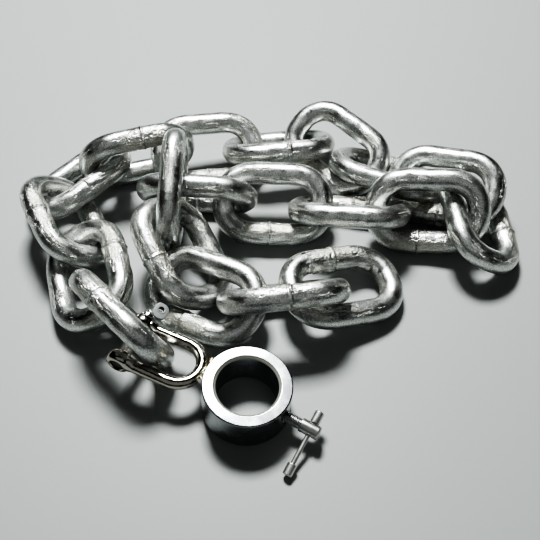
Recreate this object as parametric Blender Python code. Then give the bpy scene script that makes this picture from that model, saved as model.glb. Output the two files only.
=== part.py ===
"""A heap of bright steel chain lying on a floor, with the fittings at its first link.

Twenty welded short links lie in two loose loops. The first link hangs on the pin of a bow shackle. The
shackle's bow is welded square to the wall of a bar collar, and tips it, because its eye lies on a link. A
thumb screw with a sliding tommy bar clamps that collar to its bar.

Metres, +Z up. The origin is on the floor, under the middle of the heap's bounding box.
"""

import math

import bmesh
import bpy
import numpy as np
from mathutils import Matrix, Vector

# Clearance between pieces that touch
GAP = 0.0003

# Chain link
WIRE = 0.022
EYE_LENGTH = 0.075
EYE_WIDTH = 0.038
BEND = 0.027

# Bar collar
COLLAR_OUTSIDE = 0.074
COLLAR_BORE = 0.051
COLLAR_HEIGHT = 0.034
COLLAR_EDGE = 0.0008
BORE_CHAMFER = 0.0022
COLLAR_PLACE = (-0.0204, -0.1487)

# Bow shackle
BOW_ROD = 0.011
JAW_CLEARANCE = 0.005
BOW_JAW = WIRE + JAW_CLEARANCE
BOW_REACH = 0.064
BOW_BELOW_TOP = 0.0115
BOW_HEIGHT = COLLAR_HEIGHT - BOW_BELOW_TOP
BOW_HEADING = 156.0
UNDER_EYE = 0.0001
SHACKLE_EYE = 0.022
SHACKLE_EYE_THICKNESS = 0.012
SHACKLE_EYE_BEVEL = 0.0015
PIN = 0.011
PIN_FLANGE = 0.015
PIN_FLANGE_THICKNESS = 0.0025
PIN_NECK = 0.010
PIN_NECK_LENGTH = 0.004
TAB_WIDTH = 0.014
TAB_THICKNESS = 0.005
TAB_HOLE = 0.005
TAB_ROOT = 0.012
TAB_LEAN = 25.0

# Weld of the bow to the collar's wall
BEAD = 0.0028
BLOB = 0.0042
BLOB_SQUASH = 0.8
BEAD_HALF_ANGLE = 17.0
BLOB_ANGLES = (-17.0, 0.0, 13.0)

# Clamp screw and its tommy bar
SCREW_HEADING = -29.0
SCREW_HEIGHT = COLLAR_HEIGHT / 2
SCREW_THREAD = 0.010
SCREW_TIP_SETBACK = 0.001
SCREW_THREAD_OUT = 0.013
SCREW_HEAD = 0.0115
SCREW_HEAD_LENGTH = 0.017
SCREW_CHAMFER = 0.001
TOMMY_FROM_HEAD_END = 0.0075
TOMMY_ROD = 0.004
TOMMY_LENGTH = 0.057
CAP = 0.008
CAP_LENGTH = 0.010
CAP_EDGE = 0.0007

# Facets
LINK_SIDES = 12
LINK_BEND_STEPS = 5
ROD_SIDES = 12
BOW_STEPS = 12
ROUND_SIDES = 40
SMALL_SIDES = 20

# How each link lies: middle in mm from the floor under the pin's middle, then heading, pitch and roll in
# degrees. Roll lifts the left bar, pitch lifts the nose. The places hold for links of LAID_PITCH.
LAID_PITCH = 0.097
LAID = (
    (-11, 19, 38, -53, -3, -60),
    (-48, 78, 30, -75, 3, 20),
    (-79, 140, 36, -59, -4, -32),
    (-78, 206, 31, 42, 0, -20),
    (-17, 222, 39, 19, 0, -67),
    (50, 233, 34, 16, -2, 26),
    (127, 251, 30, 7, 0, -36),
    (189, 247, 34, -43, -6, 32),
    (234, 203, 24, -24, -3, -24),
    (290, 185, 31, -22, 2, 22),
    (315, 147, 30, -84, 0, -36),
    (270, 156, 36, 0, 0, 50),
    (191, 152, 29, -8, 0, -34),
    (120, 169, 29, -2, 0, 30),
    (44, 173, 34, -8, 0, -51),
    (23, 160, 53, -85, -12, -90),
    (33, 98, 35, -56, -4, -30),
    (58, 62, 28, -31, 10, 15),
    (126, 49, 33, 6, 0, -48),
    (181, 69, 24, 19, -8, 3),
)

# How the links come to rest, see settle
LAY_ROUNDS = 260
THICKENING_ROUNDS = 156
FADING_ROUNDS = 52
THIN_WIRE = 0.1
SINK = 0.00015
HOLD = 0.08
LINK_GAP = 0.00065
LONGEST_STEP = 0.0012
LAY_STEP = 0.6
FINISH_ROUNDS = 600
FINISH_STEP = 0.8


def turn(heading, pitch, roll):
    """Rolls a piece about its own x, then pitches its nose up, then heads it round z."""
    return (
        Matrix.Rotation(math.radians(heading), 4, "Z")
        @ Matrix.Rotation(math.radians(-pitch), 4, "Y")
        @ Matrix.Rotation(math.radians(roll), 4, "X")
    )


def collar_frame():
    """Origin under the collar's axis. The shackle tips the collar about its lower edge, on the far side from
    the shackle, until the pin's middle is at pin_height."""
    lever = COLLAR_OUTSIDE / 2 - COLLAR_EDGE + pin_reach()
    tip = math.asin(pin_height() / math.hypot(lever, BOW_HEIGHT)) - math.atan2(BOW_HEIGHT, lever)
    edge = Matrix.Translation((COLLAR_EDGE - COLLAR_OUTSIDE / 2, 0, 0))
    tipped = edge @ turn(0, math.degrees(tip), 0) @ edge.inverted()
    return Matrix.Translation((*COLLAR_PLACE, 0)) @ turn(BOW_HEADING, 0, 0) @ tipped @ turn(-BOW_HEADING, 0, 0)


def shackle_frame():
    """Origin in the middle of the pin, x square away from the collar and y along the pin."""
    crown = collar_frame() @ Matrix.Translation((0, 0, BOW_HEIGHT))
    return crown @ turn(BOW_HEADING, 0, 0) @ Matrix.Translation((pin_reach(), 0, 0))


def pin_height():
    """Height of the pin's middle, so that a link's bar passes under the shackle's eye."""
    return WIRE + UNDER_EYE + SHACKLE_EYE / 2


def pin_reach():
    """Distance from the collar's axis to the pin's middle."""
    return COLLAR_OUTSIDE / 2 + GAP + BOW_ROD / 2 + BOW_REACH


def screw_frame():
    """Origin on the collar's axis at the screw's height, x out along the screw."""
    return collar_frame() @ Matrix.Translation((0, 0, SCREW_HEIGHT)) @ turn(SCREW_HEADING, 0, 0)


def tommy_frame():
    """Origin where the tommy bar crosses the screw, z down the bar to its cap, GAP off the floor."""
    crossing = screw_frame() @ Matrix.Translation((screw_end() - TOMMY_FROM_HEAD_END, 0, 0))
    below = TOMMY_LENGTH - CAP_LENGTH - GAP - SCREW_HEAD / 2
    drop = (crossing.translation.z - GAP) / math.hypot(below, CAP / 2)
    slope = math.asin(drop) - math.atan2(CAP / 2, below)
    aside, up = crossing[2][1], crossing[2][2]
    dip = math.asin(math.sin(slope) / math.hypot(aside, up)) - math.atan2(aside, up)
    return crossing @ Matrix.Rotation(math.pi / 2 + dip, 4, "X")


def screw_end():
    """Distance from the collar's axis to the end of the screw's head."""
    return COLLAR_OUTSIDE / 2 + SCREW_THREAD_OUT + SCREW_HEAD_LENGTH


def eye_middle():
    """Distance from the shackle's middle plane to the middle of each eye."""
    return (BOW_JAW + SHACKLE_EYE_THICKNESS) / 2


def link_line(bend_steps, longest):
    """Points round a link's centre line, a rectangle with four quarter circles for its corners.

    Each bend has bend_steps chords, and no straight chord is longer than longest.
    """
    half = np.array([EYE_LENGTH + WIRE, EYE_WIDTH + WIRE]) / 2
    bend = min(BEND, *half)
    bends = []
    for quarter, signs in enumerate(((1, 1), (-1, 1), (-1, -1), (1, -1))):
        angles = math.pi / 2 * (quarter + np.linspace(0, 1, bend_steps + 1))
        arc = bend * np.column_stack([np.cos(angles), np.sin(angles)])
        bends.append((half - bend) * signs + arc)
    points = []
    for here, following in zip(bends, bends[1:] + bends[:1]):
        straight = following[0] - here[-1]
        length = float(np.hypot(*straight))
        steps = math.ceil(length / longest)
        shares = np.linspace(0, 1, steps + 1)[1:-1, None]
        points.append(here if length > GAP else here[:-1])
        points.append(here[-1] + straight * shares)
    return np.pad(np.vstack(points), ((0, 0), (0, 1)))


def bow_line(leg_steps, arc_steps):
    """Points along the bow's centre line: a leg, half a circle round the crown and the other leg."""
    half = eye_middle()
    leg = BOW_REACH - half
    angles = np.linspace(math.pi / 2, 3 * math.pi / 2, arc_steps + 1)
    arc = np.column_stack([half * np.cos(angles) - leg, half * np.sin(angles)])
    along = np.linspace(0, -leg, leg_steps + 1)[:-1]
    first = np.column_stack([along, np.full(leg_steps, half)])
    points = np.vstack([first, arc, (first * (1, -1))[::-1]])
    return np.pad(points, ((0, 0), (0, 1)))


class Lying:
    """A piece as the links feel it: round samples that move with it, or stay if it is fixed."""

    def __init__(self, samples, radii, frame, fixed=False):
        self.set_samples(samples, radii)
        self.fixed = fixed
        self.middle = np.array(frame.translation)
        self.turned = np.array(frame.to_3x3())
        self.home = self.middle.copy(), self.turned.copy()
        spread = (samples**2).mean(0)
        self.ease = 1 / (spread.sum() - spread)
        self.move()

    def set_samples(self, samples, radii):
        self.samples, self.radii = samples, radii

    def move(self):
        self.points = self.samples @ self.turned.T + self.middle

    def answer(self, arm, way):
        """How far a unit push at arm gives, and the turn that it brings."""
        if self.fixed:
            return 0.0, np.zeros(3)
        lever = self.turned.T @ np.cross(arm, way)
        eased = self.ease * lever
        return 1.0 + float(lever @ eased), self.turned @ eased

    def push(self, way, amount, spin):
        if not self.fixed:
            self.middle = self.middle + way * amount
            self.turned = rotation(spin * amount) @ self.turned

    def frame(self):
        placed = Matrix(self.turned.tolist()).to_4x4()
        placed.translation = self.middle
        return placed


def rotation(vector):
    """Matrix of a turn by the vector's length in radians about the vector."""
    angle = math.sqrt(float(vector @ vector))
    if angle < 1e-12:
        return np.eye(3)
    x, y, z = vector / angle
    cross = np.array([[0, -z, y], [z, 0, -x], [-y, x, 0]])
    return np.eye(3) + math.sin(angle) * cross + (1 - math.cos(angle)) * cross @ cross


def rotation_vector(matrix):
    """The vector whose rotation is the matrix."""
    angle = math.acos(max(-1.0, min(1.0, (np.trace(matrix) - 1) / 2)))
    if angle < 1e-9:
        return np.zeros(3)
    skew = np.array([matrix[2, 1] - matrix[1, 2], matrix[0, 2] - matrix[2, 0], matrix[1, 0] - matrix[0, 1]])
    return skew * (angle / (2 * math.sin(angle)))


def near_pairs(pieces):
    """Pairs with a moving piece whose boxes come within a wire of each other."""
    boxes = [(piece.points.min(0) - WIRE, piece.points.max(0) + WIRE) for piece in pieces]
    for first, piece in enumerate(pieces):
        for second in range(first + 1, len(pieces)):
            other = pieces[second]
            if piece.fixed and other.fixed:
                continue
            apart = (boxes[first][0] > other.points.max(0)) | (boxes[first][1] < other.points.min(0))
            if not apart.any():
                yield piece, other


def push_apart(pieces, share):
    """Parts each near pair wherever it is closest, and returns the deepest overlap found."""
    deepest = 0.0
    for piece, other in near_pairs(pieces):
        between = piece.points[:, None] - other.points[None]
        need = piece.radii[:, None] + other.radii[None] + LINK_GAP
        over = need - np.sqrt((between**2).sum(-1))
        nearest = over.argmax(1)
        depth = over[np.arange(len(over)), nearest]
        peaks = (depth > 0) & (depth >= np.roll(depth, 1)) & (depth >= np.roll(depth, -1))
        for sample in np.nonzero(peaks)[0]:
            facing = nearest[sample]
            arm = piece.turned @ piece.samples[sample]
            other_arm = other.turned @ other.samples[facing]
            way = piece.middle + arm - other.middle - other_arm
            distance = math.sqrt(float(way @ way))
            overlap = need[sample, facing] - distance
            if overlap <= 0:
                continue
            way = way / distance
            give, spin = piece.answer(arm, way)
            other_give, other_spin = other.answer(other_arm, way)
            amount = share * min(overlap, LONGEST_STEP) / (give + other_give)
            piece.push(way, amount, spin)
            other.push(way, -amount, other_spin)
            deepest = max(deepest, overlap)
    return deepest


def lift_from_floor(pieces, share):
    """Lifts whatever has sunk below the floor at each of its lowest samples."""
    up = np.array([0.0, 0.0, 1.0])
    for piece in pieces:
        piece.move()
        height = piece.points[:, 2] - piece.radii
        if piece.fixed or height.min() >= 0:
            continue
        lowest = (height < 0) & (height <= np.roll(height, 1)) & (height <= np.roll(height, -1))
        for sample in np.nonzero(lowest)[0]:
            arm = piece.turned @ piece.samples[sample]
            below = piece.radii[sample] - piece.middle[2] - arm[2]
            if below > 0:
                give, spin = piece.answer(arm, up)
                piece.push(up, share * below / give, spin)
        piece.move()


def settle(pieces, fine_samples):
    """Lets the links come to rest on each other, on the shackle and on the floor.

    Each link starts as thin wire in its laid place, so that it threads its neighbours there, and thickens
    round by round. In each round it sinks a little, is drawn back towards its laid place, and is parted
    from whatever it overlaps. At the end finer samples are parted until none is closer than LINK_GAP.
    """
    full = [piece.radii for piece in pieces]
    for count in range(LAY_ROUNDS):
        thickness = min(1.0, THIN_WIRE + (1 - THIN_WIRE) * count / THICKENING_ROUNDS)
        fading = min(1.0, (LAY_ROUNDS - count) / FADING_ROUNDS)
        for piece, radii in zip(pieces, full):
            if piece.fixed:
                continue
            piece.radii = radii * thickness
            middle, turned = piece.home
            piece.middle = piece.middle + HOLD * fading * (middle - piece.middle) * (1, 1, 0)
            piece.middle[2] -= SINK * fading
            piece.turned = rotation(HOLD * fading * rotation_vector(turned @ piece.turned.T)) @ piece.turned
            piece.move()
        for _ in range(2):
            push_apart(pieces, LAY_STEP)
            lift_from_floor(pieces, FINISH_STEP)
    for piece in pieces:
        if not piece.fixed:
            piece.set_samples(fine_samples, np.full(len(fine_samples), WIRE / 2))
            piece.move()
    for _ in range(FINISH_ROUNDS):
        deepest = push_apart(pieces, FINISH_STEP)
        lift_from_floor(pieces, 1.0)
        if deepest < GAP / 10:
            break


def fitting_samples():
    """Round samples over the shackle and the collar, on the floor's frame, with their radii."""
    shackle, collar = shackle_frame(), collar_frame()
    samples, radii = [], []

    def add(frame, points, radius):
        samples.extend(frame @ Vector(point) for point in points)
        radii.extend([radius] * len(points))

    def ring(around, count, radius, centre, one, two):
        angles = [2 * math.pi * step / count for step in range(count)]
        return [centre + around * (math.cos(a) * one + math.sin(a) * two) for a in angles]

    x, y, z = Vector((1, 0, 0)), Vector((0, 1, 0)), Vector((0, 0, 1))
    add(shackle, bow_line(14, 16), BOW_ROD / 2)
    half = eye_middle()
    add(shackle, [y * half * share for share in np.linspace(-1, 1, 15)], PIN / 2)
    ball = SHACKLE_EYE_THICKNESS / 3
    for middle in (-half, half):
        for side in (-0.25, 0.25):
            centre = y * (middle + side * SHACKLE_EYE_THICKNESS)
            add(shackle, ring(SHACKLE_EYE / 2 - ball, 12, ball, centre, x, z), ball)
    head = half + SHACKLE_EYE_THICKNESS / 2
    add(shackle, [-y * (head + step * TAB_THICKNESS) for step in range(5)], TAB_WIDTH / 2)
    wall = (COLLAR_OUTSIDE - COLLAR_BORE) / 4
    for height in np.linspace(wall, COLLAR_HEIGHT - wall, 5):
        add(collar, ring(COLLAR_OUTSIDE / 2 - wall, 36, wall, z * height, x, y), wall)
    return np.array([tuple(sample) for sample in samples]), np.array(radii)


def lay_links():
    """The frame of each link, in order from the shackle."""
    size = (EYE_LENGTH + WIRE) / LAID_PITCH
    pin = shackle_frame().translation
    samples = link_line(8, WIRE / 4)
    radii = np.full(len(samples), WIRE / 2)
    links = []
    for east, north, height, heading, pitch, roll in LAID:
        place = Vector((pin.x, pin.y, 0)) + size * Vector((east, north, height)) / 1000
        links.append(Lying(samples, radii, Matrix.Translation(place) @ turn(heading, pitch, roll)))
    settle([*links, Lying(*fitting_samples(), Matrix.Identity(4), fixed=True)], link_line(14, WIRE / 8))
    return [link.frame() for link in links]


def tube(points, radius, sides, closed):
    """Round bar along a path in the xy plane, with a ring of vertices square to it at each point."""
    ahead = np.roll(points, -1, 0) - np.roll(points, 1, 0)
    if not closed:
        ahead[0] = points[1] - points[0]
        ahead[-1] = points[-1] - points[-2]
    ahead = ahead / np.linalg.norm(ahead, axis=1)[:, None]
    up = np.array([0.0, 0.0, 1.0])
    aside = np.cross(ahead, up)
    angles = 2 * math.pi * np.arange(sides) / sides
    spokes = np.cos(angles)[:, None] * aside[:, None] + np.sin(angles)[:, None] * up
    bm = bmesh.new()
    rings = [[bm.verts.new(vert) for vert in ring] for ring in points[:, None] + radius * spokes]
    for one, two in zip(rings, rings[1:] + (rings[:1] if closed else [])):
        for side in range(sides):
            bm.faces.new((one[side - 1], one[side], two[side], two[side - 1]))
    if not closed:
        bm.faces.new(rings[0])
        bm.faces.new(rings[-1])
    return bm


def turned(profile, sides, closed=False):
    """A profile of (radius, height) points turned round z, closed into a ring or with ends on the axis."""
    bm = bmesh.new()
    rings = []
    for radius, height in profile:
        angles = [2 * math.pi * side / sides for side in range(sides if radius else 1)]
        rings.append([bm.verts.new((radius * math.cos(a), radius * math.sin(a), height)) for a in angles])
    for one, two in zip(rings, rings[1:] + (rings[:1] if closed else [])):
        for side in range(sides):
            corners = [one[(side - 1) % len(one)], one[side % len(one)]]
            corners += [two[side % len(two)], two[(side - 1) % len(two)]]
            bm.faces.new(list(dict.fromkeys(corners)))
    return bm


def rounded_end(radius, height, bevel, inwards=1):
    """Profile of a flat end with a bevelled edge, from the axis out, or from the rim in with inwards -1."""
    points = [(0.0, height), (radius - bevel, height), (radius, height + inwards * bevel)]
    return points[::inwards]


def box(low, high):
    """Box between two corners."""
    bm = bmesh.new()
    middle = (Vector(low) + Vector(high)) / 2
    size = Vector(high) - Vector(low)
    bmesh.ops.create_cube(bm, size=1, matrix=Matrix.Translation(middle) @ Matrix.Diagonal((*size, 1)))
    return bm


def ball(radius, squash):
    """Round blob, squashed along z."""
    bm = bmesh.new()
    bmesh.ops.create_icosphere(bm, subdivisions=2, radius=radius, matrix=Matrix.Diagonal((1, 1, squash, 1)))
    return bm


def material(name, colour, roughness, metallic=1.0):
    made = bpy.data.materials.new(name)
    made.use_nodes = True
    shader = made.node_tree.nodes["Principled BSDF"]
    shader.inputs["Base Color"].default_value = (*colour, 1)
    shader.inputs["Roughness"].default_value = roughness
    shader.inputs["Metallic"].default_value = metallic
    return made


def piece(name, bm, finish, frame, floor):
    """One object of the mesh, in its frame on the floor, smooth but for its real edges."""
    bmesh.ops.recalc_face_normals(bm, faces=bm.faces)
    mesh = bpy.data.meshes.new(name)
    bm.to_mesh(mesh)
    bm.free()
    mesh.shade_smooth()
    mesh.set_sharp_from_angle(angle=math.radians(35))
    made = bpy.data.objects.new(name, mesh)
    bpy.context.scene.collection.objects.link(made)
    made.data.materials.append(finish)
    made.parent = floor
    made.matrix_local = frame
    return made


def guide(name, bm, frame, floor):
    """A shape that only cuts or joins another."""
    made = piece(name, bm, bpy.data.materials[0], frame, floor)
    made.hide_render = True
    made.display_type = "WIRE"
    return made


def boolean(target, operation, tool):
    modifier = target.modifiers.new(tool.name, "BOOLEAN")
    modifier.operation = operation
    modifier.solver = "EXACT"
    modifier.object = tool


def make_links(finish, floor):
    for number, frame in enumerate(lay_links(), 1):
        line = link_line(LINK_BEND_STEPS, EYE_LENGTH + WIRE)
        piece(f"link_{number:02d}", tube(line, WIRE / 2, LINK_SIDES, closed=True), finish, frame, floor)


def make_bow(finish, floor):
    frame = shackle_frame()
    rod = tube(bow_line(1, BOW_STEPS), BOW_ROD / 2, ROD_SIDES, closed=False)
    bow = piece("shackle_bow", rod, finish, frame, floor)
    half = SHACKLE_EYE_THICKNESS / 2
    along_pin = Matrix.Rotation(math.pi / 2, 4, "X")
    profile = rounded_end(SHACKLE_EYE / 2, -half, SHACKLE_EYE_BEVEL)
    profile += rounded_end(SHACKLE_EYE / 2, half, SHACKLE_EYE_BEVEL, -1)
    for name, side in (("near_eye", 1), ("far_eye", -1)):
        place = frame @ Matrix.Translation((0, side * eye_middle(), 0)) @ along_pin
        boolean(bow, "UNION", guide(name, turned(profile, SMALL_SIDES), place, floor))
    reach = eye_middle() + SHACKLE_EYE_THICKNESS
    bore = [(0.0, -reach), (PIN / 2 + GAP, -reach), (PIN / 2 + GAP, reach), (0.0, reach)]
    boolean(bow, "DIFFERENCE", guide("pin_bore", turned(bore, SMALL_SIDES), frame @ along_pin, floor))


def make_pin(finish, floor):
    """The pin ends flush in the near eye. Past the far eye come its flange, neck and drilled tab."""
    frame = shackle_frame()
    along_pin = frame @ Matrix.Rotation(math.pi / 2, 4, "X")
    face = eye_middle() + SHACKLE_EYE_THICKNESS / 2
    flange = face + GAP
    neck = flange + PIN_FLANGE_THICKNESS
    profile = rounded_end(PIN / 2, -face, SCREW_CHAMFER)
    profile += [(PIN / 2, flange), (PIN_FLANGE / 2, flange), (PIN_FLANGE / 2, neck), (PIN_NECK / 2, neck)]
    profile += [(PIN_NECK / 2, neck + PIN_NECK_LENGTH), (0.0, neck + PIN_NECK_LENGTH)]
    pin = piece("shackle_pin", turned(profile, SMALL_SIDES), finish, along_pin, floor)
    centre = neck + PIN_NECK_LENGTH / 2 + TAB_WIDTH / 2
    tab_frame = along_pin @ Matrix.Rotation(math.radians(TAB_LEAN), 4, "Z")
    lying = Matrix.Rotation(math.pi / 2, 4, "X")
    half = TAB_THICKNESS / 2
    disc = rounded_end(TAB_WIDTH / 2, -half, CAP_EDGE) + rounded_end(TAB_WIDTH / 2, half, CAP_EDGE, -1)
    hole = [(0.0, -TAB_WIDTH), (TAB_HOLE / 2, -TAB_WIDTH), (TAB_HOLE / 2, TAB_WIDTH), (0.0, TAB_WIDTH)]
    middle = tab_frame @ Matrix.Translation((0, 0, centre)) @ lying
    low = (-TAB_ROOT / 2, CAP_EDGE - half, neck + half)
    high = (TAB_ROOT / 2, half - CAP_EDGE, centre)
    boolean(pin, "UNION", guide("tab_root", box(low, high), tab_frame, floor))
    boolean(pin, "UNION", guide("tab_disc", turned(disc, SMALL_SIDES), middle, floor))
    boolean(pin, "DIFFERENCE", guide("tab_hole", turned(hole, SMALL_SIDES), middle, floor))


def make_weld(finish, floor):
    """A bead with three blobs in the groove above the bow's crown, clear of the bow and the wall by GAP."""
    wall = COLLAR_OUTSIDE / 2
    height = BOW_HEIGHT + BOW_ROD / 2
    heading = math.radians(BOW_HEADING)
    angles = heading + np.radians(np.linspace(-BEAD_HALF_ANGLE, BEAD_HALF_ANGLE, 9))
    line = (wall + BEAD / 2) * np.column_stack([np.cos(angles), np.sin(angles), np.zeros(len(angles))])
    frame = collar_frame() @ Matrix.Translation((0, 0, height))
    weld = piece("bow_weld", tube(line, BEAD, ROD_SIDES, closed=False), finish, frame, floor)
    for count, angle in enumerate(BLOB_ANGLES, 1):
        place = turn(BOW_HEADING + angle, 0, 0) @ Matrix.Translation((wall + BLOB / 3, 0, 0))
        boolean(weld, "UNION", guide(f"blob_{count}", ball(BLOB, BLOB_SQUASH), frame @ place, floor))
    clear = [(0.0, -GAP), (wall + GAP, -GAP), (wall + GAP, 2 * COLLAR_HEIGHT), (0.0, 2 * COLLAR_HEIGHT)]
    boolean(weld, "DIFFERENCE", guide("wall_clear", turned(clear, ROUND_SIDES), collar_frame(), floor))
    rod = tube(bow_line(1, BOW_STEPS), BOW_ROD / 2 + GAP, ROD_SIDES, closed=False)
    boolean(weld, "DIFFERENCE", guide("rod_clear", rod, shackle_frame(), floor))


def make_collar(finish, floor):
    outside, bore = COLLAR_OUTSIDE / 2, COLLAR_BORE / 2
    profile = []
    for height, inwards in ((0.0, 1), (COLLAR_HEIGHT, -1)):
        face = [(bore, height + inwards * BORE_CHAMFER), (bore + BORE_CHAMFER, height)]
        face += [(outside - COLLAR_EDGE, height), (outside, height + inwards * COLLAR_EDGE)]
        profile += face[::inwards]
    collar = piece("collar", turned(profile, ROUND_SIDES, closed=True), finish, collar_frame(), floor)
    radius = SCREW_THREAD / 2 + GAP
    hole = [(0.0, 0.0), (radius, 0.0), (radius, COLLAR_OUTSIDE), (0.0, COLLAR_OUTSIDE)]
    along = screw_frame() @ Matrix.Rotation(math.pi / 2, 4, "Y")
    boolean(collar, "DIFFERENCE", guide("screw_hole", turned(hole, SMALL_SIDES), along, floor))


def make_screw(finish, floor):
    tip = COLLAR_BORE / 2 + SCREW_TIP_SETBACK
    shoulder = COLLAR_OUTSIDE / 2 + SCREW_THREAD_OUT
    profile = rounded_end(SCREW_THREAD / 2, tip, SCREW_CHAMFER) + [(SCREW_THREAD / 2, shoulder)]
    profile += [(SCREW_HEAD / 2, shoulder)] + rounded_end(SCREW_HEAD / 2, screw_end(), SCREW_CHAMFER, -1)
    along = screw_frame() @ Matrix.Rotation(math.pi / 2, 4, "Y")
    screw = piece("clamp_screw", turned(profile, SMALL_SIDES), finish, along, floor)
    radius = TOMMY_ROD / 2 + GAP
    hole = [(0.0, -SCREW_HEAD), (radius, -SCREW_HEAD), (radius, SCREW_HEAD), (0.0, SCREW_HEAD)]
    boolean(screw, "DIFFERENCE", guide("tommy_hole", turned(hole, SMALL_SIDES), tommy_frame(), floor))


def make_tommy_bar(finish, floor):
    """A rod with a cap on each end. It has slid down until its upper cap rests on the screw's head."""
    top = -SCREW_HEAD / 2 - GAP - CAP_LENGTH
    end = top + TOMMY_LENGTH
    profile = rounded_end(CAP / 2, top, CAP_EDGE)
    profile += [(CAP / 2, top + CAP_LENGTH), (TOMMY_ROD / 2, top + CAP_LENGTH)]
    profile += [(TOMMY_ROD / 2, end - CAP_LENGTH), (CAP / 2, end - CAP_LENGTH)]
    profile += rounded_end(CAP / 2, end, CAP_EDGE, -1)
    piece("tommy_bar", turned(profile, SMALL_SIDES), finish, tommy_frame(), floor)


def centre_on_origin(floor):
    """Moves the heap so that its bounding box stands on the floor with its middle over the origin."""
    graph = bpy.context.evaluated_depsgraph_get()
    corners = []
    for made in floor.children:
        if made.hide_render:
            continue
        shape = made.evaluated_get(graph)
        corners += [shape.matrix_world @ vert.co for vert in shape.data.vertices]
    points = np.array([tuple(corner) for corner in corners])
    low, high = points.min(0), points.max(0)
    floor.location = (-(low[0] + high[0]) / 2, -(low[1] + high[1]) / 2, -low[2])


def main():
    for old in list(bpy.data.objects):
        bpy.data.objects.remove(old, do_unlink=True)
    floor = bpy.data.objects.new("heap", None)
    bpy.context.scene.collection.objects.link(floor)
    make_links(material("chain_steel", (0.62, 0.61, 0.58), 0.22), floor)
    make_bow(material("shackle_steel", (0.72, 0.71, 0.68), 0.08), floor)
    make_pin(material("pin_steel", (0.66, 0.66, 0.66), 0.16), floor)
    make_weld(material("weld_metal", (0.60, 0.56, 0.46), 0.30), floor)
    make_collar(material("collar_steel", (0.58, 0.58, 0.58), 0.20), floor)
    make_screw(material("screw_steel", (0.45, 0.45, 0.46), 0.34), floor)
    make_tommy_bar(material("tommy_steel", (0.50, 0.50, 0.51), 0.30), floor)
    centre_on_origin(floor)


main()
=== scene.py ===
# %% [markdown]
# # A heap of bright steel chain
#
# Twenty welded links lie on a floor in two loose loops. The first hangs on a shackle, which is welded to a
# bar collar with a clamp screw and a sliding tommy bar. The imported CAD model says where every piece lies.
# This lesson gives each piece the surface of the real one: forged, welded, plated, scuffed or turned.

# %% Load the frame
import math

import bpy
import numpy as np
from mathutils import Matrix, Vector


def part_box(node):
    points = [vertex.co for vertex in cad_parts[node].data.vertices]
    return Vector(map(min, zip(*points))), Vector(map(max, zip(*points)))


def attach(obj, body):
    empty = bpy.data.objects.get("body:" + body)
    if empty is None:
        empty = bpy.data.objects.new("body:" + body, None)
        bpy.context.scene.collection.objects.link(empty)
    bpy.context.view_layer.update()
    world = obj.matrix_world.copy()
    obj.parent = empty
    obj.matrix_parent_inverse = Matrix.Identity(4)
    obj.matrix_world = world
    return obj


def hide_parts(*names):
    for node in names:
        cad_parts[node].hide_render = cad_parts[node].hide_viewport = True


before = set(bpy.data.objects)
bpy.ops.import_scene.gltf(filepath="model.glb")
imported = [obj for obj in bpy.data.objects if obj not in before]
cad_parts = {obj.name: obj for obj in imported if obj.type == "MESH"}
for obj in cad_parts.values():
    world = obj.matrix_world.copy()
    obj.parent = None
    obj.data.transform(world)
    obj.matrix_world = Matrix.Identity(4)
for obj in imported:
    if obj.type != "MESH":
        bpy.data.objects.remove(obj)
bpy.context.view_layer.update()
scene = bpy.context.scene
LINKS = sorted(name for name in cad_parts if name.startswith("link_"))

# %% [markdown]
# The sizes below are the part's own, in metres. The shackle is welded square to the collar, and its far eye
# lies on a link's bar, which tips the collar onto its edge by a few degrees. The middle of a tipped ring is
# still the middle of its box, so the fittings are placed from there. The camera was fitted to the
# photograph, which puts its target beyond and to the right of the collar.

# %% Sizes of the pieces
GAP = 0.0003
# Chain link
WIRE, EYE_LENGTH, EYE_WIDTH, BEND = 0.022, 0.075, 0.038, 0.027
# Collar
COLLAR_OUTSIDE, COLLAR_BORE, COLLAR_HEIGHT = 0.074, 0.051, 0.034
COLLAR_EDGE, BORE_CHAMFER = 0.0008, 0.0022
# Shackle and its pin
BOW_ROD, BOW_JAW, BOW_REACH, BOW_HEIGHT, BOW_HEADING = 0.011, 0.027, 0.064, 0.0225, 156
SHACKLE_EYE, SHACKLE_EYE_THICKNESS, UNDER_EYE = 0.022, 0.012, 0.0001
PIN, PIN_FLANGE, PIN_FLANGE_THICKNESS, PIN_NECK, PIN_NECK_LENGTH = 0.011, 0.015, 0.0025, 0.010, 0.004
TAB_WIDTH, TAB_THICKNESS, TAB_HOLE, TAB_LEAN = 0.014, 0.005, 0.005, 25
PIN_HEIGHT = WIRE + UNDER_EYE + SHACKLE_EYE / 2
# Weld of the bow to the collar
BEAD, BLOB, BLOB_ANGLES = 0.0028, 0.0042, (-17, 0, 13)
# Clamp screw and tommy bar
SCREW_HEADING, SCREW_HEIGHT, SCREW_THREAD, THREAD_PITCH = -29, 0.017, 0.010, 0.0015
THREAD_OUT, SCREW_HEAD, SCREW_HEAD_LENGTH, TIP_SETBACK = 0.013, 0.0115, 0.017, 0.001
TOMMY_ROD, TOMMY_LENGTH, CAP, CAP_LENGTH, TOMMY_FROM_HEAD_END = 0.004, 0.057, 0.008, 0.010, 0.0075


def turn(heading, pitch=0):
    """Axes of a piece that is pitched nose up and then headed round z, as rows."""
    h, p = np.radians([heading, pitch])
    pitched = np.array([[math.cos(p), 0, math.sin(p)], [0, 1, 0], [-math.sin(p), 0, math.cos(p)]])
    headed = np.array([[math.cos(h), math.sin(h), 0], [-math.sin(h), math.cos(h), 0], [0, 0, 1]])
    return pitched @ headed


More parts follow.
